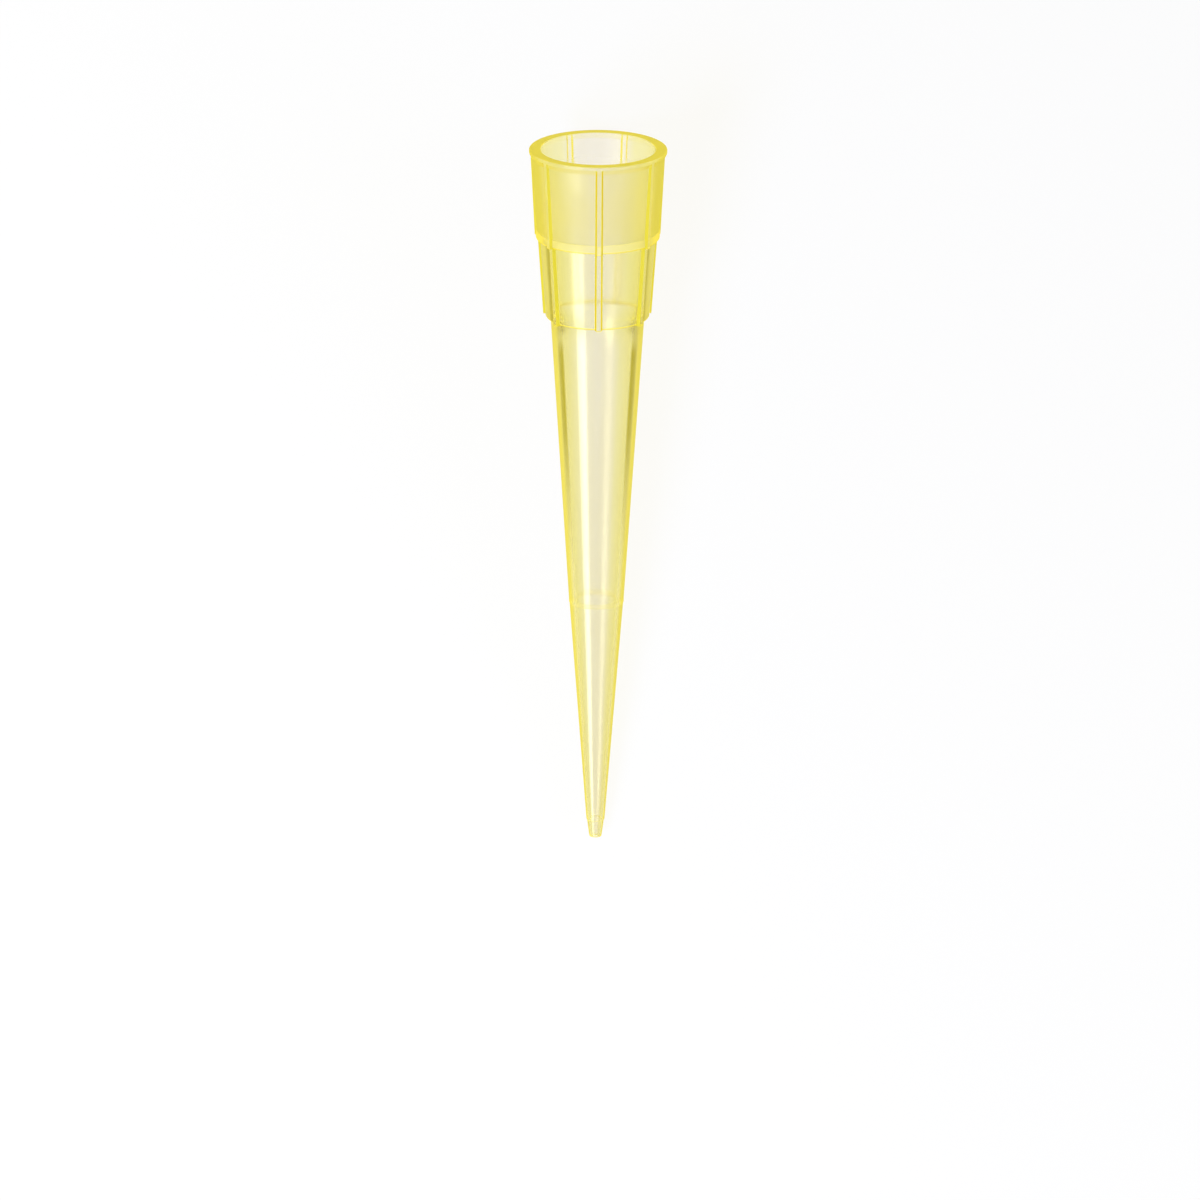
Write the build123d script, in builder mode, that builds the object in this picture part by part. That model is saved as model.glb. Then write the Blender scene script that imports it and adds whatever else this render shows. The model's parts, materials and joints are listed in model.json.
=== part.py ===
from build123d import *
from math import asin, atan2, cos, degrees, hypot, sin, tan
import os

# Pipette tip: one hollow injection moulding, a long thin cone with a ribbed,
# two-tier collar round its mouth. It lies on its side, touching the ground at
# the foot of the mouth tier and at the small step just before the fine end.
#
# Row frame: the ground is z = 0, the mouth faces -X, the fine end +X, and the
# origin is the middle of the footprint. All sizes are in millimetres.
# Stations (s) run along the tip's own axis from the mouth to the fine end.

# ---------------------------------------------------------------- dimensions
length = 50.0             # mouth to fine end
mouth_r = 4.75            # lip round the mouth, outside
mouth_bore_r = 3.97       # bore at the mouth
lip_height = 0.30         # band of the lip along the axis
lip_step = 0.14           # how far the lip stands out from the wall

tier_1_top_r = 4.588      # wall just below the lip
tier_1_end = 6.32         # station of the first step
tier_1_end_r = 4.175      # where the first wall's taper would end
band_start = 5.66         # low band round the foot of the first tier
band_r = 4.262
tier_2_top_r = 3.975      # just below the first step
tier_2_end = 11.95        # station of the second step
tier_2_end_r = 3.570

cone_top_r = 3.236        # just below the second step
cone_line = 32.66         # fine step part-way down the cone
cone_line_r = 1.905       # low ridge on the mouth side of the line
cone_ridge = 0.34         # its length
lower_cone_r = 1.868      # just below the line
nozzle_start = 48.70      # small step before the nozzle
lower_cone_end_r = 0.631
nozzle_top_r = 0.590
nozzle_end_r = 0.420

socket_end = 10.90        # bore: end of the tapered socket for the shaft
socket_end_r = 3.182
shoulder_end = 12.90      # the bore's gentle shoulder behind the second step
shoulder_end_r = 2.548
bore_mid, bore_mid_r = 43.7, 0.757
bore_low, bore_low_r = 48.3, 0.420
bore_fine, bore_fine_r = 49.45, 0.262
orifice_r = 0.235

rib_count = 7             # straight ribs, equally spaced, down both tiers
rib_width = 0.46
rib_height = 0.23         # how far a rib stands out from its wall
rib_top_start_r = 4.73    # outer edge of the first tier's ribs, under the lip
rib_root = 0.20           # how deep a rib is rooted in its wall
rib_start = 0.30          # first tier's ribs start under the lip
rib_proud = 0.05          # a rib's foot passes the step by this much
rib_edge = 0.07           # rounding of a rib's outer edges

step_edge = 0.06          # rounding of the foot of each tier
step_root = 0.07          # fillet in the corner under each tier

# ------------------------------------------------------------- lying attitude
# The ground touches the rounded foot of the first tier and the rounded step
# above the nozzle. Both roundings are arcs, so the tilt is that of the line
# that is tangent to both.
foot_edge = 0.10
tail_edge = 0.015
end_edge = 0.09
foot = (tier_1_end - foot_edge, band_r - foot_edge)
tail = (nozzle_start - tail_edge, lower_cone_end_r - tail_edge)
span = hypot(tail[0] - foot[0], foot[1] - tail[1])
tilt = atan2(foot[1] - tail[1], tail[0] - foot[0]) + asin((foot_edge - tail_edge) / span)
mouth_z = foot[1] * cos(tilt) + foot_edge + foot[0] * sin(tilt)

x_low = -(mouth_r - 0.095) * sin(tilt)
x_high = length * cos(tilt) + (nozzle_end_r - end_edge) * sin(tilt)
mouth_x = -(x_low + x_high) / 2

# The section plane holds the tip's axis as its local X, and its local Y points
# up from the axis.
section_plane = Plane(
    origin=(mouth_x, 0, mouth_z), x_dir=(cos(tilt), 0, -sin(tilt)), z_dir=(0, -1, 0)
)
tip_axis = Axis(section_plane.origin, section_plane.x_dir)


def wall_r(s):
    """Outer wall radius at a station of the collar, without band or ribs."""
    if s <= tier_1_end:
        t = (s - lip_height) / (tier_1_end - lip_height)
        return tier_1_top_r + (tier_1_end_r - tier_1_top_r) * t
    t = (s - tier_1_end) / (tier_2_end - tier_1_end)
    return tier_2_top_r + (tier_2_end_r - tier_2_top_r) * t


# Outline of the moulding's wall: (station, radius, corner rounding), down the
# outside from the mouth and back up the bore.
outline = [
    (0.0, mouth_bore_r, 0.06),
    (0.0, mouth_r, 0.10),
    (lip_height, mouth_r - 0.01, 0.10),
    (lip_height + lip_step, wall_r(lip_height + lip_step), 0.10),
    (band_start, wall_r(band_start), 0.0),
    (band_start + 0.06, band_r, 0.03),
    (tier_1_end, band_r, foot_edge),
    (tier_1_end, tier_2_top_r, step_root),
    (tier_2_end, tier_2_end_r, step_edge),
    (tier_2_end, cone_top_r, step_root),
    (cone_line - cone_ridge, cone_line_r + 0.004, 0.0),
    (cone_line, cone_line_r, 0.015),
    (cone_line, lower_cone_r, 0.0),
    (nozzle_start, lower_cone_end_r, tail_edge),
    (nozzle_start + 0.02, nozzle_top_r, 0.0),
    (length, nozzle_end_r, end_edge),
    (length, orifice_r, 0.04),
    (bore_fine, bore_fine_r, 0.0),
    (bore_low, bore_low_r, 0.0),
    (bore_mid, bore_mid_r, 0.0),
    (shoulder_end, shoulder_end_r, 1.0),
    (socket_end, socket_end_r, 1.0),
]

# ------------------------------------------------------------------ one rib
# A rib of each tier, in the section plane above the axis, with rounded edges.
rib_spans = [
    (rib_start, tier_1_end + rib_proud),
    (tier_1_end + 0.02, tier_2_end + rib_proud),
]


def rib_top_r(s, tier):
    """Radius of a rib's outer edge: the first tier's ribs start flush with the lip."""
    if tier == 0:
        low_r = wall_r(tier_1_end) + rib_height
        run = (s - rib_start) / (tier_1_end + rib_proud - rib_start)
        return rib_top_start_r + (low_r - rib_top_start_r) * run
    return wall_r(max(s, tier_1_end + 1e-6)) + rib_height


with BuildPart() as rib_tier_1:
    s0, s1 = rib_spans[0]
    with BuildSketch(section_plane):
        with BuildLine():
            Polyline(
                (s0, wall_r(s0) - rib_root),
                (s0, rib_top_r(s0, 0)),
                (s1, rib_top_r(s1, 0)),
                (s1, wall_r(tier_1_end) - 0.35),
                close=True,
            )
        make_face()
    extrude(amount=rib_width / 2, both=True)
    fillet(
        rib_tier_1.faces().sort_by(Axis.Z)[-1].edges(),
        radius=rib_edge,
    )

with BuildPart() as rib_tier_2:
    s0, s1 = rib_spans[1]
    with BuildSketch(section_plane):
        with BuildLine():
            Polyline(
                (s0, wall_r(tier_1_end + 0.02) - rib_root),
                (s0, rib_top_r(s0, 1)),
                (s1, rib_top_r(s1, 1)),
                (s1, cone_top_r - 0.12),
                close=True,
            )
        make_face()
    extrude(amount=rib_width / 2, both=True)
    fillet(
        rib_tier_2.faces().sort_by(Axis.Z)[-1].edges(),
        radius=rib_edge,
    )

# ------------------------------------------------------------ the whole tip
with BuildPart() as pipette_tip:
    with BuildSketch(section_plane):
        with BuildLine():
            FilletPolyline(
                *[(s, r) for s, r, _ in outline],
                radius=[rounding for _, _, rounding in outline],
                close=True,
            )
        make_face()
    revolve(axis=tip_axis)
    for index in range(rib_count):
        turn = index * 360 / rib_count
        add(rib_tier_1.part.rotate(tip_axis, turn))
        add(rib_tier_2.part.rotate(tip_axis, turn))

pipette_tip.part.label = "pipette_tip"

os.makedirs("parts", exist_ok=True)
export_step(pipette_tip.part, "parts/pipette_tip.step")

box = pipette_tip.part.bounding_box()
print("lying tilt (degrees):", round(degrees(tilt), 3))
print("mouth centre:", round(mouth_x, 4), round(mouth_z, 4))
print("box:", box.min, box.max)
print("solids:", len(pipette_tip.part.solids()), "volume mm3:", round(pipette_tip.part.volume, 2))
print("fine end centre:", round(mouth_x + length * cos(tilt), 4), round(mouth_z - length * sin(tilt), 4))
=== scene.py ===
import json
import math

import bmesh
import bpy
from mathutils import Matrix, Vector


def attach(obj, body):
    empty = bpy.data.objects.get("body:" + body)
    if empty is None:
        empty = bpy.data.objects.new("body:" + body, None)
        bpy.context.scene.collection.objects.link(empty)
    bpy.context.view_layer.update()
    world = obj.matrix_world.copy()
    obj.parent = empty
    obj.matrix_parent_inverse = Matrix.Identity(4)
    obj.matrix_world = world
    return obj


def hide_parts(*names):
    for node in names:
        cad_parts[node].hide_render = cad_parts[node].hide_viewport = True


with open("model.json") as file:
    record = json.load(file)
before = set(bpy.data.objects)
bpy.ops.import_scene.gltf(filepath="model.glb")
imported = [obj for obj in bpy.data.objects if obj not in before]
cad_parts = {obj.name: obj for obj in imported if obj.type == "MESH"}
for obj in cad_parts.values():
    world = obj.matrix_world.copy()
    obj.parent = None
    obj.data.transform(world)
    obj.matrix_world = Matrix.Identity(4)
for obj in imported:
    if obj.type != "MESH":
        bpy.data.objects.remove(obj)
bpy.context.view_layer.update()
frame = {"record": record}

# ------------------------------------------------------------------ the row frame
# The mouth's centre and the tip's own axis come from the record. Stations run
# along the axis from the mouth to the fine end, in millimetres.
mount = next(m for m in frame["record"]["mounts"] if m["name"] == "mouth_socket")
MOUTH = Vector(mount["pos_m"])
ALONG = -Vector(mount["axis"]).normalized()
SIDE = Vector((0.0, 1.0, 0.0))
OVER = SIDE.cross(ALONG).normalized()
if OVER.z < 0:
    OVER = -OVER
MM = 0.001


def place(station, out, across, angle):
    """Row-frame point at a station, at out and across (mm) in the axial section turned by angle."""
    radial = OVER * math.cos(angle) + SIDE * math.sin(angle)
    tangent = SIDE * math.cos(angle) - OVER * math.sin(angle)
    return MOUTH + (ALONG * station + radial * out + tangent * across) * MM


# ------------------------------------------------------------- the tip's own form
LENGTH = 50.0
LIP_R, BORE_R = 4.75, 3.97
RIBS, RIB_HALF, RIB_TOP, RIB_EDGE, RIB_FOOT = 7, 0.25, 0.18, 0.05, 0.03
RIB_HEIGHT = 0.23


def wall_r(s):
    if s <= 6.32:
        return 4.588 + (4.175 - 4.588) * (s - 0.30) / 6.02
    return 3.975 + (3.570 - 3.975) * (s - 6.32) / 5.63


def rib_1(s):
    low = wall_r(6.32) + RIB_HEIGHT
    return 4.73 + (low - 4.73) * (s - 0.30) / 6.07


def rib_2(s):
    return wall_r(max(s, 6.3201)) + RIB_HEIGHT


def cone_r(s):
    return 3.236 + (1.909 - 3.236) * (s - 11.95) / (32.32 - 11.95)


# Corners of the wall's outline and, beside each, the rib's own corner there:
# (station, radius, rounding). A negative rounding is a straight stretch that
# only carries matching points. None: the rib has no part there.
OUTLINE = [
    ((0.00, BORE_R, 0.06), None),
    ((0.00, LIP_R, 0.10), None),
    ((0.24, 4.742, 0.10), (0.30, 4.738, 0.02)),
    ((0.56, wall_r(0.56), 0.30), (0.60, rib_1(0.60), -0.04)),
    ((5.66, wall_r(5.66), 0.03), (5.66, rib_1(5.66), -0.02)),
    ((5.72, 4.262, 0.03), (5.74, rib_1(5.74), -0.02)),
    ((6.32, 4.262, 0.10), (6.37, rib_1(6.37), RIB_EDGE)),
    ((6.32, 3.975, 0.07), (6.37, rib_2(6.37), RIB_FOOT)),
    ((11.95, 3.570, 0.12), (12.00, rib_2(12.00), RIB_EDGE)),
    ((11.95, 3.236, 0.07), (12.00, cone_r(12.00), 0.02)),
    ((32.32, 1.909, 0.05), None),
    ((32.66, 1.905, 0.015), None),
    ((32.66, 1.868, 0.010), None),
    ((48.70, 0.631, 0.015), None),
    ((48.72, 0.590, 0.010), None),
    ((50.00, 0.420, 0.09), None),
    ((50.00, 0.235, 0.04), None),
    ((49.45, 0.262, 0.30), None),
    ((48.30, 0.420, 0.80), None),
    ((43.70, 0.757, 2.00), None),
    ((12.90, 2.548, 6.00), None),
    ((10.90, 3.182, 6.00), None),
    ((6.10, 3.529, -0.12), None),
]
TURNS = 5  # segments in a rounded corner
HOLD = 0.035  # a ring this far from a rounding keeps it from shading the flat


def corner(p0, p1, p2, rounding):
    """Points of one rounded corner, with a holding point at each end."""
    a, b, c = Vector(p0), Vector(p1), Vector(p2)
    u, v = (a - b), (c - b)
    lu, lv = u.length, v.length
    u, v = u / lu, v / lv
    if rounding <= 0:
        reach = -rounding
        points = []
        for k in range(TURNS + 1):
            f = -1 + 2 * k / TURNS
            points.append(b + (u * (-f) if f < 0 else v * f) * reach)
        back = min(HOLD, 0.3 * (lu - reach))
        ahead = min(HOLD, 0.3 * (lv - reach))
        return [b + u * (reach + back)] + points + [b + v * (reach + ahead)]
    half = math.acos(max(-1, min(1, u.dot(v)))) / 2
    reach = rounding / math.tan(half)
    limit = 0.42 * min(lu, lv)
    if reach > limit:
        reach = limit
        rounding = reach * math.tan(half)
    centre = b + (u + v).normalized() * (rounding / math.sin(half))
    start, end = b + u * reach - centre, b + v * reach - centre
    turn = math.atan2(start.x * end.y - start.y * end.x, start.dot(end))
    points = []
    for k in range(TURNS + 1):
        t = turn * k / TURNS
        points.append(
            centre
            + Vector(
                (
                    start.x * math.cos(t) - start.y * math.sin(t),
                    start.x * math.sin(t) + start.y * math.cos(t),
                )
            )
        )
    back = min(HOLD, 0.3 * (lu - reach))
    ahead = min(HOLD, 0.3 * (lv - reach))
    return [b + u * (reach + back)] + points + [b + v * (reach + ahead)]


def profile(corners, runs):
    """The closed outline as points, with runs[i] extra points after corner i."""
    n = len(corners)
    made = []
    for i in range(n):
        p0, p1, p2 = corners[i - 1], corners[i], corners[(i + 1) % n]
        made.append(corner(p0[:2], p1[:2], p2[:2], p1[2]))
    points = []
    for i in range(n):
        points += made[i]
        a, b = made[i][-1], made[(i + 1) % n][0]
        for k in range(runs[i]):
            points.append(a.lerp(b, (k + 1) / (runs[i] + 1)))
    return points


wall_corners = [w for w, _ in OUTLINE]
rib_corners = [r or w for w, r in OUTLINE]
runs = []
for i, w in enumerate(wall_corners):
    after = wall_corners[(i + 1) % len(wall_corners)]
    gap = math.hypot(after[0] - w[0], after[1] - w[1])
    runs.append(min(9, int(gap / 1.6)))
WALL = profile(wall_corners, runs)
RIB = profile(rib_corners, runs)
# The rib is part of the outline only between the lip and the second step.
first = sum(TURNS + 3 + runs[i] for i in range(2)) + 1
last = sum(TURNS + 3 + runs[i] for i in range(9)) + TURNS
for i in range(len(WALL)):
    if i < first or i > last:
        RIB[i] = WALL[i]

# One rib's section, from one side to the other: (across, share of its height).
half_section = [
    (-RIB_HALF - 2.2 * RIB_FOOT, 0.0),
    (-RIB_HALF - RIB_FOOT, 0.0),
    (-RIB_HALF - 0.3 * RIB_FOOT, 0.3 * RIB_FOOT / RIB_HEIGHT),
    (-RIB_HALF, RIB_FOOT / RIB_HEIGHT),
]
for turn in (0, 22.5, 45, 67.5, 90):
    a = math.radians(turn)
    half_section.append(
        (
            -RIB_TOP + RIB_EDGE * (1 - math.cos(a)),
            1 - RIB_EDGE * (1 - math.sin(a)) / RIB_HEIGHT,
        )
    )
half_section.append((-0.5 * (RIB_TOP - RIB_EDGE), 1.0))
section = half_section + [(0.0, 1.0)] + [(-t, g) for t, g in reversed(half_section)]
BETWEEN = 30  # segments of wall between two ribs


def ring(wall, rib):
    """The points of one closed ring round the tip."""
    s, r = wall
    wide = max(r, 3.2)
    edge = math.asin(section[-1][0] / wide)
    pitch = 2 * math.pi / RIBS
    points = []
    for k in range(RIBS):
        middle = k * pitch
        for across, share in section:
            turn = math.asin(across / wide)
            out, off = r * math.cos(turn), r * math.sin(turn)
            points.append(
                place(
                    s + (rib[0] - s) * share, out + (rib[1] - out) * share, off, middle
                )
                if rib != wall
                else place(s, out, off, middle)
            )
        for m in range(1, BETWEEN):
            turn = edge + (pitch - 2 * edge) * m / BETWEEN
            points.append(
                place(s, r * math.cos(turn), r * math.sin(turn), middle)
            )
    return points


BORE = [(w[0], w[1]) for w in [wall_corners[0]] + wall_corners[:15:-1]]


def wall_depth(s, r):
    """Thickness of the wall (mm) behind a point of the outside."""
    for (s0, r0), (s1, r1) in zip(BORE, BORE[1:]):
        if s <= s1:
            return r - (r0 + (r1 - r0) * (s - s0) / (s1 - s0))
    return r


mesh = bpy.data.meshes.new("moulded_tip")
bm = bmesh.new()
satin = bm.verts.layers.float.new("satin")
# Where a dark band of painted shade may lie near the tip's edges.
shade_band_mask = bm.verts.layers.float.new("shade_band_mask")
milk = bm.verts.layers.float.new("milk")
rough = bm.verts.layers.float.new("rough")
edge_on = bm.verts.layers.float.new("edge_on")
rings = [
    [bm.verts.new(p) for p in ring(tuple(w), tuple(r))] for w, r in zip(WALL, RIB)
]
around = len(rings[0])
outside = sum(TURNS + 3 + n for n in runs[:15]) + 4  # up to the fine end's face
# Light gathers at the moulding's sharp corners: the share of milky plastic at
# each corner of the outline, at the flat that follows it, and on a rib's flanks.
CORNER_MILK = {
    0: (0.10, 0.10),
    1: (0.10, 0.06),
    2: (0.20, 0.20),
    3: (0.10, 0.06),
    4: (0.10, 0.30),
    5: (0.58, 0.38),
    6: (0.72, 0.10),
    7: (0.10, 0.03),
    8: (0.74, 0.05),
    9: (0.10, 0.02),
    10: (0.10, 0.26),
    11: (0.30, 0.30),
    12: (0.35, 0.02),
    13: (0.60, 0.60),
    14: (0.50, 0.05),
    15: (0.50, 0.50),
    16: (0.30, 0.02),
}
FLANK_MILK = 0.90
milk_at, edge_at = [], []
for c in range(len(runs)):
    sharp, flat = CORNER_MILK.get(c, (0.01, 0.01))
    before = milk_at[-1] if milk_at else 0.02
    milk_at += [before] + [sharp] * (TURNS + 1) + [flat] * (1 + runs[c])
    # The bore and the undersides of the steps, under the wall, count less edge-on.
    under = 0.3 if c > 15 and c != 20 else 0.1 if c in (6, 8, 20) else 1.0
    before = edge_at[-1] if edge_at else 0.3
    edge_at += [before] + [1.0 if c < 16 else 0.3] * (TURNS + 1) + [under] * (1 + runs[c])
for i, (w, points) in enumerate(zip(WALL, rings)):
    # The collar's outside is satin, its socket less so, and the rest is polished.
    if i < 4 or i > outside:
        finish, roughness = 0.0, 0.20
        if 0.1 < w[0] < 6.12:
            roughness = 0.24 if w[0] < 2.3 else 0.50
    elif w[0] < 6.28:
        finish, roughness = 1.0, 0.60
    elif w[0] < 11.93:
        finish, roughness = 0.6, 0.14
    else:
        finish, roughness = 0.2 - 0.1 * (w[0] - 11.95) / 38.05, 0.12
    # Mask of a painted dark band of shade near the edges: on the cone it fades as
    # the wall thins down from the second step; on the second tier it is nearly full.
    shade_band_strength = 0.0
    if 0.05 < finish < 0.5 and 12.1 < w[0] < 48.6:
        shade_band_strength = max(0.0, min(1.0, (wall_depth(max(w[0], 13.0), cone_r(max(w[0], 13.0))) - 0.51) / 0.07))
    elif 0.5 < finish < 0.9:
        shade_band_strength = 0.9
    for j, v in enumerate(points):
        v[satin] = finish
        v[rough] = roughness
        v[shade_band_mask] = shade_band_strength
        v[milk] = milk_at[i]
        v[edge_on] = edge_at[i]
        k = j % (len(section) + BETWEEN - 1)
        if first <= i <= last and k < len(section):
            v[shade_band_mask] = 0.0
            if 0.01 < section[k][1] < 0.99:
                v[milk] = max(milk_at[i], FLANK_MILK)
for i in range(len(rings)):
    a, b = rings[i], rings[(i + 1) % len(rings)]
    for j in range(around):
        k = (j + 1) % around
        bm.faces.new((a[j], a[k], b[k], b[j]))
bmesh.ops.remove_doubles(bm, verts=bm.verts, dist=2e-8)
bmesh.ops.dissolve_degenerate(bm, edges=bm.edges, dist=1e-8)
if bm.calc_volume(signed=True) < 0:
    bmesh.ops.reverse_faces(bm, faces=bm.faces)
print(
    "TIP rings",
    len(rings),
    "around",
    around,
    "volume mm3",
    round(bm.calc_volume(signed=True) * 1e9, 2),
    "open edges",
    sum(1 for e in bm.edges if len(e.link_faces) != 2),
    "triangles",
    sum(len(f.verts) - 2 for f in bm.faces),
)
for f in bm.faces:
    f.smooth = True
bm.to_mesh(mesh)
bm.free()
tip = bpy.data.objects.new("moulded_tip", mesh)
bpy.context.scene.collection.objects.link(tip)
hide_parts("pipette_tip")
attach(tip, "root")
tip.visible_diffuse = False  # the floor's own bounces pass the clear wall


# ------------------------------------------------------------------- materials
def nodes_of(name):
    m = bpy.data.materials.new(name)
    m.use_nodes = True
    m.node_tree.nodes.clear()
    return m, m.node_tree.nodes, m.node_tree.links


def ramp(nodes, stops, interpolation="LINEAR"):
    n = nodes.new("ShaderNodeValToRGB")
    n.color_ramp.interpolation = interpolation
    while len(n.color_ramp.elements) > 1:
        n.color_ramp.elements.remove(n.color_ramp.elements[-1])
    n.color_ramp.elements[0].position = stops[0][0]
    n.color_ramp.elements[0].color = (*stops[0][1], 1)
    for position, colour in stops[1:]:
        n.color_ramp.elements.new(position).color = (*colour, 1)
    return n


plastic, nodes, links = nodes_of("clear_yellow_polypropylene")


def grey(*stops):
    return [(at, (v, v, v)) for at, v in stops]


def maths(operation, a, b):
    n = nodes.new("ShaderNodeMath")
    n.operation = operation
    for socket, value in zip(n.inputs, (a, b)):
        if isinstance(value, (int, float)):
            socket.default_value = value
        else:
            links.new(value, socket)
    return n.outputs["Value"]


def times(a, b):
    n = nodes.new("ShaderNodeMix")
    n.data_type, n.blend_type = "RGBA", "MULTIPLY"
    n.inputs[0].default_value = 1.0
    links.new(a, n.inputs[6])
    links.new(b, n.inputs[7])
    return n.outputs[2]


def through(value, stops, interpolation="LINEAR"):
    n = ramp(nodes, stops, interpolation)
    links.new(value, n.inputs["Fac"])
    return n.outputs["Color"]


out = nodes.new("ShaderNodeOutputMaterial")
body = nodes.new("ShaderNodeBsdfPrincipled")
body.inputs["IOR"].default_value = 1.49
body.inputs["Transmission Weight"].default_value = 1.0
body.inputs["Specular Tint"].default_value = (1.0, 1.0, 0.8, 1)
coords = nodes.new("ShaderNodeTexCoord")


def layer(name):
    n = nodes.new("ShaderNodeAttribute")
    n.attribute_name = name
    return n.outputs["Fac"]


satin_here, shade_band_here, milk_here, rough_here, edge_here = (
    layer(name) for name in ("satin", "shade_band_mask", "milk", "rough", "edge_on")
)
facing = nodes.new("ShaderNodeLayerWeight")
facing.inputs["Blend"].default_value = 0.5
facing = facing.outputs["Facing"]
edge = maths("MULTIPLY", facing, edge_here)

# Faint flow marks from the gate, drawn out along the tip's axis.
stretch = nodes.new("ShaderNodeMapping")
stretch.inputs["Scale"].default_value = (60.0, 900.0, 900.0)
flow = nodes.new("ShaderNodeTexNoise")
flow.inputs["Scale"].default_value = 1.0
flow.inputs["Detail"].default_value = 3.0
links.new(coords.outputs["Object"], stretch.inputs["Vector"])
links.new(stretch.outputs["Vector"], flow.inputs["Vector"])
flow = flow.outputs["Fac"]
marks = through(flow, [(0.30, (0.985, 0.975, 0.93)), (0.70, (1.0, 1.0, 1.0))])

# The clear wall's own tint is deeper where the wall is seen edge-on, as in glass;
# where the wall is thick, a dark band of painted shade is laid over it near the edges.
clear_tint = through(
    edge,
    [
        (0.00, (0.945, 0.927, 0.95)),
        (0.035, (0.945, 0.927, 0.93)),
        (0.075, (0.950, 0.926, 0.63)),
        (0.12, (0.950, 0.925, 0.66)),
        (0.20, (0.950, 0.920, 0.57)),
        (0.30, (0.950, 0.905, 0.45)),
        (0.45, (0.960, 0.890, 0.34)),
        (0.65, (0.960, 0.870, 0.24)),
    ],
)
# The collar is a little deeper than the cone's top, and the fine end too.
collar_edge = through(
    edge, [(0.0, (1.0, 1.0, 0.97)), (0.11, (1.0, 1.0, 0.77)), (0.30, (1.0, 0.99, 0.63))]
)
collar = nodes.new("ShaderNodeMix")
collar.data_type = "RGBA"
collar.inputs[6].default_value = (1, 1, 1, 1)
links.new(
    through(satin_here, grey((0.2, 0.0), (0.6, 1.0), (1.0, 0.7))), collar.inputs[0]
)
links.new(collar_edge, collar.inputs[7])
along = through(
    satin_here,
    [(0.0, (1, 1, 1)), (0.10, (0.965, 0.945, 0.78)), (0.2, (1, 1, 0.95)), (0.6, (1, 1, 1))],
)
# Painted shade: a dark olive band near the edges seen edge-on, one for the cone and one for the second tier,
# multiplied into the clear tint where the mask allows.
cone_shade_band = through(edge, grey((0.37, 0.0), (0.42, 1.0), (0.52, 0.9), (0.60, 0.0)))
tier_shade_band = through(edge, grey((0.44, 0.0), (0.50, 1.0), (0.56, 1.0), (0.64, 0.0)))
on_collar = through(satin_here, grey((0.25, 0.0), (0.55, 1.0)))
shade_bands = nodes.new("ShaderNodeMix")
shade_bands.data_type = "RGBA"
links.new(on_collar, shade_bands.inputs[0])
links.new(cone_shade_band, shade_bands.inputs[6])
links.new(tier_shade_band, shade_bands.inputs[7])
painted_shade_mask = maths("MULTIPLY", shade_band_here, shade_bands.outputs[2])
painted_band_shade = nodes.new("ShaderNodeMix")
painted_band_shade.data_type = "RGBA"
painted_band_shade.inputs[6].default_value = (1, 1, 1, 1)
painted_band_shade.inputs[7].default_value = (0.30, 0.25, 0.0, 1)
links.new(painted_shade_mask, painted_band_shade.inputs[0])
tint = times(times(clear_tint, collar.outputs[2]), times(painted_band_shade.outputs[2], marks))
tint = times(tint, along)
links.new(tint, body.inputs["Base Color"])

# The mould's finish: satin on the collar, polished on the cone, a little uneven.
grain = nodes.new("ShaderNodeTexNoise")
grain.inputs["Scale"].default_value = 1400.0
grain.inputs["Detail"].default_value = 4.0
links.new(coords.outputs["Object"], grain.inputs["Vector"])
grain = grain.outputs["Fac"]
uneven = through(grain, grey((0.25, 0.85), (0.75, 1.15)))
links.new(maths("MULTIPLY", rough_here, uneven), body.inputs["Roughness"])
bump = nodes.new("ShaderNodeBump")
bump.inputs["Strength"].default_value = 0.03
bump.inputs["Distance"].default_value = 0.00002
links.new(flow, bump.inputs["Height"])
links.new(bump.outputs["Normal"], body.inputs["Normal"])

# The plastic is a little milky: part of the light spreads in it, most where the
# finish is satin and where the wall is seen edge-on.
milk_tint_and_band_shade = through(satin_here, [(0.2, (1.0, 0.86, 0.12)), (0.6, (0.93, 0.80, 0.10))])
corner_tint = through(milk_here, [(0.2, (0, 0, 0)), (0.4, (1, 1, 1))])
line_tint = through(
    milk_here,
    [
        (0.40, (1.0, 0.91, 0.30)),
        (0.62, (1.0, 0.91, 0.28)),
        (0.72, (0.98, 0.87, 0.12)),
        (0.85, (0.90, 0.80, 0.06)),
    ],
)
tinted = nodes.new("ShaderNodeMix")
tinted.data_type = "RGBA"
links.new(corner_tint, tinted.inputs[0])
links.new(milk_tint_and_band_shade, tinted.inputs[6])
links.new(
    times(line_tint, through(edge, [(0.20, (1, 1, 1)), (0.50, (0.93, 0.84, 0.30))])),
    tinted.inputs[7],
)
# Painted shade: inside the dark band the milky part turns a dark olive.
painted_olive_shade = nodes.new("ShaderNodeMix")
painted_olive_shade.data_type = "RGBA"
links.new(painted_shade_mask, painted_olive_shade.inputs[0])
links.new(tinted.outputs[2], painted_olive_shade.inputs[6])
painted_olive_shade.inputs[7].default_value = (0.62, 0.52, 0.015, 1)
milk_tint_and_band_shade = painted_olive_shade.outputs[2]
haze_front = nodes.new("ShaderNodeBsdfDiffuse")
links.new(milk_tint_and_band_shade, haze_front.inputs["Color"])
haze_back = nodes.new("ShaderNodeBsdfTranslucent")
links.new(milk_tint_and_band_shade, haze_back.inputs["Color"])
haze = nodes.new("ShaderNodeMixShader")
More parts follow.
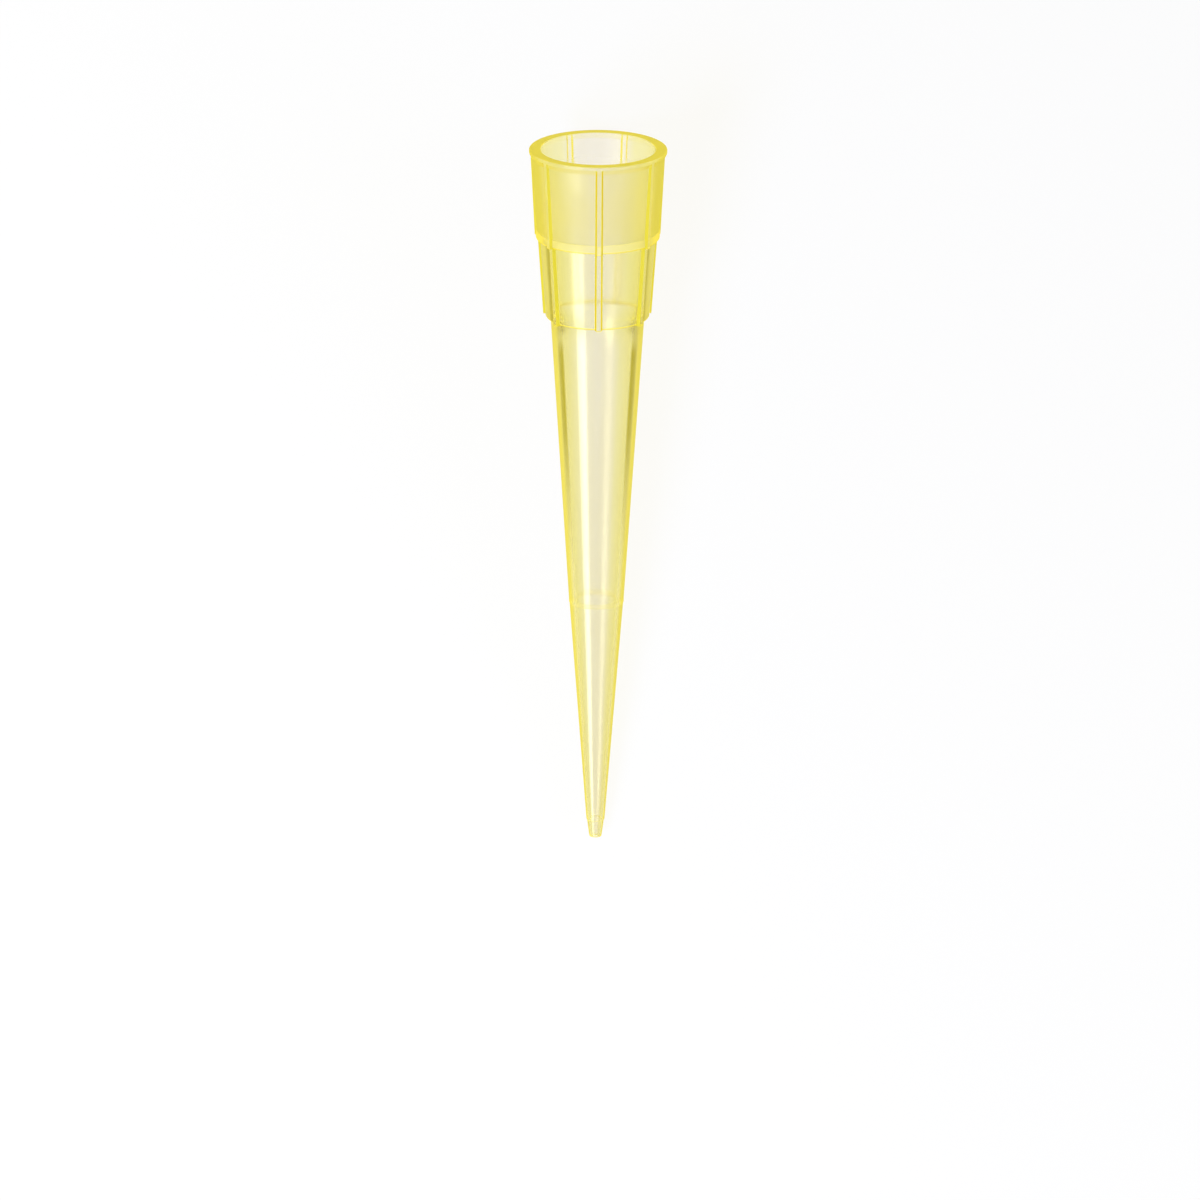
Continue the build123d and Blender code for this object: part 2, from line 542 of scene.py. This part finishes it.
# The light that a milky corner spreads comes from outside the wall, so it shows
# by reflection from outside and by transmission from inside.
inside = nodes.new("ShaderNodeNewGeometry").outputs["Backfacing"]
spread = nodes.new("ShaderNodeMix")
spread.data_type = "FLOAT"
links.new(
    through(milk_here, grey((0.22, 0.0), (0.30, 1.0), (0.76, 1.0), (0.86, 0.0))),
    spread.inputs[0],
)
spread.inputs[2].default_value = 0.35
links.new(maths("ADD", 0.05, maths("MULTIPLY", inside, 0.85)), spread.inputs[3])
links.new(spread.outputs[0], haze.inputs[0])
links.new(haze_front.outputs["BSDF"], haze.inputs[1])
links.new(haze_back.outputs["BSDF"], haze.inputs[2])
edge_milk = through(
    edge,
    grey(
        (0.05, 0.0), (0.20, 0.03), (0.34, 0.12), (0.44, 0.25), (0.50, 0.42), (0.56, 0.75), (0.64, 0.90), (1.0, 0.94)
    ),
)
edge_milk = maths(
    "MULTIPLY", edge_milk, through(satin_here, grey((0.2, 1.0), (0.6, 0.75), (1.0, 1.0)))
)
# In the painted shade band there is less clear milk and more of the dark olive milk.
less = maths("SUBTRACT", 1.0, maths("MULTIPLY", painted_shade_mask, 0.9))
share = maths("MULTIPLY", maths("MAXIMUM", milk_here, edge_milk), less)
share = maths("ADD", share, maths("MULTIPLY", painted_shade_mask, 0.55))
milky = nodes.new("ShaderNodeMixShader")
links.new(share, milky.inputs[0])
links.new(body.outputs["BSDF"], milky.inputs[1])
links.new(haze.outputs["Shader"], milky.inputs[2])

# Light from the lamps reaches the floor through the clear wall.
path = nodes.new("ShaderNodeLightPath")
clear = nodes.new("ShaderNodeBsdfTransparent")
clear.inputs["Color"].default_value = (0.97, 0.95, 0.86, 1)
mix = nodes.new("ShaderNodeMixShader")
links.new(path.outputs["Is Shadow Ray"], mix.inputs[0])
links.new(milky.outputs["Shader"], mix.inputs[1])
links.new(clear.outputs["BSDF"], mix.inputs[2])
links.new(mix.outputs["Shader"], out.inputs["Surface"])
tip.data.materials.append(plastic)

floor_mesh = bpy.data.meshes.new("studio_floor")
bm = bmesh.new()
bmesh.ops.create_circle(bm, cap_ends=True, segments=96, radius=3.0)
bm.to_mesh(floor_mesh)
bm.free()
floor = bpy.data.objects.new("studio_floor", floor_mesh)
bpy.context.scene.collection.objects.link(floor)
paper, nodes, links = nodes_of("pale_paper")
out = nodes.new("ShaderNodeOutputMaterial")
body = nodes.new("ShaderNodeBsdfPrincipled")
coords = nodes.new("ShaderNodeTexCoord")
noise = nodes.new("ShaderNodeTexNoise")
noise.inputs["Scale"].default_value = 3.0
links.new(coords.outputs["Object"], noise.inputs["Vector"])
tone = ramp(nodes, [(0.3, (0.815, 0.815, 0.82)), (0.7, (0.83, 0.83, 0.83))])
links.new(noise.outputs["Fac"], tone.inputs["Fac"])
links.new(tone.outputs["Color"], body.inputs["Base Color"])
body.inputs["Roughness"].default_value = 0.95
body.inputs["Specular IOR Level"].default_value = 0.1
links.new(body.outputs["BSDF"], out.inputs["Surface"])
floor.data.materials.append(paper)

# ----------------------------------------------------------------------- light
world = bpy.data.worlds.new("studio")
bpy.context.scene.world = world
world.use_nodes = True
world.node_tree.nodes["Background"].inputs["Color"].default_value = (1, 1, 1, 1)
world.node_tree.nodes["Background"].inputs["Strength"].default_value = 0.98

middle = MOUTH + ALONG * (0.5 * LENGTH * MM)


def softbox(name, forward, sideways, distance, size, size_y, radiance, shadow):
    """A soft light aimed at the tip: forward degrees towards the fine end, sideways degrees round the axis."""
    f, g = math.radians(forward), math.radians(sideways)
    direction = ALONG * math.sin(f) + (
        OVER * math.cos(g) + SIDE * math.sin(g)
    ) * math.cos(f)
    lamp = bpy.data.lights.new(name, "AREA")
    lamp.shape = "RECTANGLE"
    lamp.size, lamp.size_y = size, size_y
    lamp.energy = radiance * math.pi * size * size_y
    lamp.use_shadow = shadow
    ob = bpy.data.objects.new(name, lamp)
    bpy.context.scene.collection.objects.link(ob)
    z = direction.normalized()
    y = (ALONG - z * ALONG.dot(z)).normalized()
    x = y.cross(z)
    turned = Matrix((x, y, z)).transposed().to_4x4()
    ob.matrix_world = Matrix.Translation(middle + z * distance) @ turned
    ob.visible_camera = False
    return ob


softbox("key_left", 24, -43, 0.60, 0.23, 0.28, 5.6, True)
wrap = softbox("wrap_right", 10, 80, 0.60, 0.40, 0.50, 1.5, True)
wrap.visible_glossy = False
wrap.visible_transmission = False

# ---------------------------------------------------------------------- camera
FOCAL = 11000.0  # in pixels of the 1200-pixel frame
TIP_X, TIP_Y, DEPTH = 598.17, 148.6, 754.13
lean, orbit, roll = math.radians(18.4), math.radians(-1.2), math.radians(-0.24)
back = -ALONG * math.sin(lean) + (
    OVER * math.cos(orbit) + SIDE * math.sin(orbit)
) * math.cos(lean)
back.normalize()
up = (-ALONG - back * (-ALONG).dot(back)).normalized()
right = up.cross(back)
up, right = (
    up * math.cos(roll) + right * math.sin(roll),
    right * math.cos(roll) - up * math.sin(roll),
)
cam = bpy.data.cameras.new("camera")
cam.sensor_width = 36.0
cam.lens = FOCAL * 36.0 / 1200.0
cam.clip_start, cam.clip_end = 0.05, 20.0
camera = bpy.data.objects.new("camera", cam)
bpy.context.scene.collection.objects.link(camera)
spot = (
    MOUTH
    - right * ((TIP_X - 600) / FOCAL * DEPTH * MM)
    - up * ((600 - TIP_Y) / FOCAL * DEPTH * MM)
    + back * (DEPTH * MM)
)
camera.matrix_world = (
    Matrix.Translation(spot) @ Matrix((right, up, back)).transposed().to_4x4()
)
bpy.context.scene.camera = camera

scene = bpy.context.scene
scene.view_settings.view_transform = "Standard"
scene.view_settings.look = "None"
scene.cycles.max_bounces = 24
scene.cycles.transmission_bounces = 20
scene.cycles.transparent_max_bounces = 24
scene.cycles.caustics_reflective = False
scene.cycles.caustics_refractive = False
